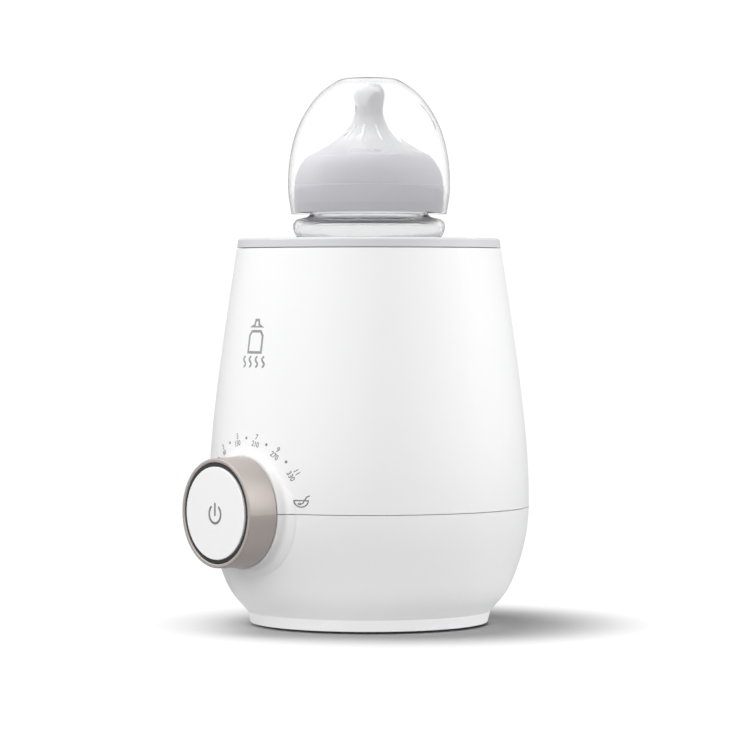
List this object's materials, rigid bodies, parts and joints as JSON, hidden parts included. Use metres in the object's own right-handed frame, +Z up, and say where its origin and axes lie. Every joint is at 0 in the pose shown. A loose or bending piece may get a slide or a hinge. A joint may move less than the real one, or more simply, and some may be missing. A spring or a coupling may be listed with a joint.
{
  "type": "bottle warmer",
  "caption": "Round countertop bottle warmer with a side dial, push button and heated water well, holding a clear baby bottle with a domed cap.",
  "frame": {"origin": "on the floor under the body's axis, in the plane of the rubber foot ring", "axes": "+Z up along the body's and the bottle's axis; -Y towards the dial and button; +X to the right seen from the dial side"},
  "size_m": [0.1384, 0.1539, 0.236],
  "materials": {
    "housing_white": "satin white moulded plastic",
    "base_white": "matte white moulded plastic",
    "rim_grey": "fine satin light grey plastic",
    "dial_taupe": "satin taupe plastic",
    "button_white": "satin white plastic",
    "smoked_plastic": "smoked translucent plastic",
    "mark_dark": "dark inlay",
    "inner_plastic": "glass filled grey nylon",
    "code_black": "black plastic",
    "rubber_grey": "soft anti-slip rubber",
    "seal_silicone": "translucent silicone",
    "chamber_aluminium": "brushed aluminium with non-stick lacquer",
    "sheath_steel": "heat tinted steel sheath",
    "screw_steel": "zinc plated steel",
    "spring_steel": "bright spring wire",
    "contact_brass": "plated brass",
    "insulation_felt": "needled glass felt",
    "board_green": "solder masked laminate",
    "part_blue": "sleeved component",
    "part_yellow": "taped winding",
    "fuse_glass": "clear glass tube with metal caps",
    "fuse_white": "glazed ceramic",
    "led_white": "moulded lens",
    "socket_cream": "nylon",
    "lead_red": "silicone insulated wire",
    "lead_grey": "insulated wire and ribbon",
    "bottle_clear": "clear polypropylene, slightly hazy",
    "teat_silicone": "translucent silicone",
    "collar_grey": "satin lilac-grey plastic",
    "cap_clear": "clear polypropylene"
  },
  "bodies": {
    "housing": {"upper_housing": "housing_white", "lower_housing": "housing_white", "base_plate": "base_white", "rim_ring": "rim_grey", "light_ring": "smoked_plastic", "inner_frame": "inner_plastic", "dial_core": "inner_plastic", "dial_reader": "code_black", "microcontroller": "code_black", "push_switch": "code_black", "relay": "code_black", "foot_ring": "rubber_grey", "cord_gland": "rubber_grey", "chamber_seal": "seal_silicone", "heating_chamber": "chamber_aluminium", "heater_plate": "chamber_aluminium", "heating_element": "sheath_steel", "element_clamp": "sheath_steel", "fuse_clip": "sheath_steel", "temperature_sensor": "sheath_steel", "base_screws": "screw_steel", "clamp_screw": "screw_steel", "board_screws": "screw_steel", "control_screws": "screw_steel", "core_screws": "screw_steel", "sensor_spring": "spring_steel", "heater_terminals": "contact_brass", "indicator_pins": "contact_brass", "insulation_sleeve": "insulation_felt", "power_board": "board_green", "control_board": "board_green", "indicator_board": "board_green", "filter_capacitor": "part_blue", "suppression_capacitor": "part_blue", "terminal_block": "part_blue", "transformer": "part_yellow", "mains_fuse": "fuse_glass", "thermal_fuse": "fuse_white", "safety_thermostat": "fuse_white", "indicator_leds": "led_white", "cable_sockets": "socket_cream", "heater_leads": "lead_red", "sensor_lead": "lead_grey", "board_cable": "lead_grey"},
    "dial": {"dial_ring": "dial_taupe", "dial_pointer": "mark_dark", "code_wheel": "code_black", "dial_retainer": "inner_plastic"},
    "button": {"power_button": "button_white", "button_spring": "spring_steel"},
    "bottle": {"bottle": "bottle_clear"},
    "teat": {"teat": "teat_silicone"},
    "collar": {"screw_collar": "collar_grey"},
    "cap": {"dome_cap": "cap_clear"}
  },
  "joints": [
    {"name": "dial_turn", "type": "hinge", "parent": "housing", "child": "dial", "pos_m": [0, -0.0844, 0.0512], "axis": [0, 1, 0], "range_deg": [-78.75, 78.75]},
    {"name": "button_press", "type": "slide", "parent": "housing", "child": "button", "axis": [0, 1, 0], "range_m": [0, 0.0007], "stiffness_N_per_m": 900, "springref_m": -0.001, "deforming": ["button_spring"]},
    {"name": "bottle_lift", "type": "slide", "parent": "housing", "child": "bottle", "axis": [0, 0, 1], "range_m": [0, 0.115]},
    {"name": "teat_rise", "type": "slide", "parent": "bottle", "child": "teat", "axis": [0, 0, 1], "range_m": [0, 0.0051]},
    {"name": "collar_turn", "type": "hinge", "parent": "teat", "child": "collar", "pos_m": [0, 0, 0.19], "axis": [0, 0, 1], "range_deg": [0, 450]},
    {"name": "cap_lift", "type": "slide", "parent": "collar", "child": "cap", "axis": [0, 0, 1], "range_m": [0, 0.065]}
  ],
  "couplings": [
    {"joint": "teat_rise", "follows": "collar_turn", "m_per_rad": 0.00063662}
  ]
}
